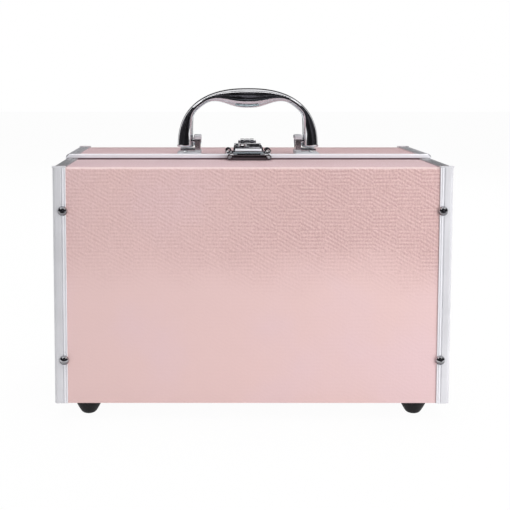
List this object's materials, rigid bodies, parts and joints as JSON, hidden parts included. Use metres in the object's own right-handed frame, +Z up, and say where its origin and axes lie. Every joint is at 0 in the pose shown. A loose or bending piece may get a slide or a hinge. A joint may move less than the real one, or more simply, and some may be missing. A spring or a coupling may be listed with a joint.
{
  "type": "makeup train case",
  "caption": "Hard makeup train case with a split top, lift-out cantilever trays, aluminium edge trims, folding carry handle, centre latch and rubber feet",
  "frame": {"origin": "centre of the underside of the feet", "axes": "+Z up, +X to the right seen from the front, front faces -Y"},
  "size_m": [0.3, 0.1708, 0.2505],
  "materials": {
    "embossed_skin": "satin embossed",
    "lining_cloth": "matte",
    "aluminium_trim": "satin",
    "bright_chrome": "polished",
    "steel_fittings": "satin",
    "black_rubber": "matte",
    "mirror_glass": "polished",
    "frame_plastic": "matte",
    "tray_plastic": "satin",
    "lock_brass": "polished"
  },
  "bodies": {
    "case": {"front_panel": "embossed_skin", "rear_panel": "embossed_skin", "right_side_panel": "embossed_skin", "left_side_panel": "embossed_skin", "bottom_panel": "embossed_skin", "front_lining": "lining_cloth", "rear_lining": "lining_cloth", "right_lining": "lining_cloth", "left_lining": "lining_cloth", "floor_lining": "lining_cloth", "front_right_corner_trim": "aluminium_trim", "front_left_corner_trim": "aluminium_trim", "rear_right_corner_trim": "aluminium_trim", "rear_left_corner_trim": "aluminium_trim", "bottom_right_trim": "aluminium_trim", "bottom_left_trim": "aluminium_trim", "corner_rivets": "bright_chrome", "rubber_feet": "black_rubber", "foot_screws": "steel_fittings", "front_hinge_case_leaf": "steel_fittings", "front_hinge_pin": "steel_fittings", "front_hinge_screws": "steel_fittings", "rear_hinge_case_leaf": "steel_fittings", "rear_hinge_pin": "steel_fittings", "rear_hinge_screws": "steel_fittings", "link_wall_pins": "steel_fittings"},
    "flap": {"front_flap_panel": "embossed_skin", "flap_right_trim": "aluminium_trim", "flap_left_trim": "aluminium_trim", "strike_plate": "bright_chrome", "strike_rivets": "bright_chrome", "front_hinge_lid_leaf": "steel_fittings", "front_tray_lid_arms": "steel_fittings"},
    "lid": {"rear_lid_panel": "embossed_skin", "lid_right_trim": "aluminium_trim", "lid_left_trim": "aluminium_trim", "lid_front_rail": "aluminium_trim", "lid_seal": "black_rubber", "mirror": "mirror_glass", "mirror_frame": "frame_plastic", "right_handle_bracket": "bright_chrome", "left_handle_bracket": "bright_chrome", "handle_pins": "bright_chrome", "bracket_screws": "bright_chrome", "latch_base": "bright_chrome", "latch_pin": "bright_chrome", "latch_rivets": "bright_chrome", "rear_hinge_lid_leaf": "steel_fittings", "rear_tray_lid_arms": "steel_fittings"},
    "handle": {"handle": "bright_chrome"},
    "latch": {"latch_lever": "bright_chrome"},
    "lock": {"lock_cylinder": "lock_brass"},
    "front_tray": {"front_tray": "tray_plastic", "front_tray_pins": "steel_fittings"},
    "front_links": {"front_tray_links": "steel_fittings"},
    "rear_tray": {"rear_tray": "tray_plastic", "rear_tray_pins": "steel_fittings"},
    "rear_links": {"rear_tray_links": "steel_fittings"}
  },
  "joints": [
    {"name": "front_flap_hinge", "type": "hinge", "parent": "case", "child": "flap", "pos_m": [0, -0.0747, 0.191], "axis": [1, 0, 0], "range_deg": [0, 95]},
    {"name": "rear_lid_hinge", "type": "hinge", "parent": "case", "child": "lid", "pos_m": [0, 0.0747, 0.1942], "axis": [-1, 0, 0], "range_deg": [0, 95]},
    {"name": "handle_fold", "type": "hinge", "parent": "lid", "child": "handle", "pos_m": [0, 0.0075, 0.2062], "axis": [1, 0, 0], "range_deg": [-85, 85]},
    {"name": "latch_lift", "type": "hinge", "parent": "lid", "child": "latch", "pos_m": [0, 0.0205, 0.2047], "axis": [-1, 0, 0], "range_deg": [0, 75]},
    {"name": "key_turn", "type": "hinge", "parent": "latch", "child": "lock", "pos_m": [-0.0045, 0.007, 0.1971], "axis": [0, 0, 1], "range_deg": [0, 90]},
    {"name": "front_tray_level", "type": "hinge", "parent": "flap", "child": "front_tray", "pos_m": [0, -0.03833, 0.17], "axis": [1, 0, 0], "range_deg": [-95, 0]},
    {"name": "front_link_swing", "type": "hinge", "parent": "case", "child": "front_links", "pos_m": [0, -0.0667, 0.175], "axis": [1, 0, 0], "range_deg": [0, 95]},
    {"name": "rear_tray_level", "type": "hinge", "parent": "lid", "child": "rear_tray", "pos_m": [0, 0.03833, 0.1732], "axis": [-1, 0, 0], "range_deg": [-95, 0]},
    {"name": "rear_link_swing", "type": "hinge", "parent": "case", "child": "rear_links", "pos_m": [0, 0.0667, 0.1782], "axis": [-1, 0, 0], "range_deg": [0, 95]}
  ],
  "couplings": [
    {"joint": "front_tray_level", "follows": "front_flap_hinge", "ratio": -1},
    {"joint": "front_link_swing", "follows": "front_flap_hinge", "ratio": 1},
    {"joint": "rear_tray_level", "follows": "rear_lid_hinge", "ratio": -1},
    {"joint": "rear_link_swing", "follows": "rear_lid_hinge", "ratio": 1}
  ]
}
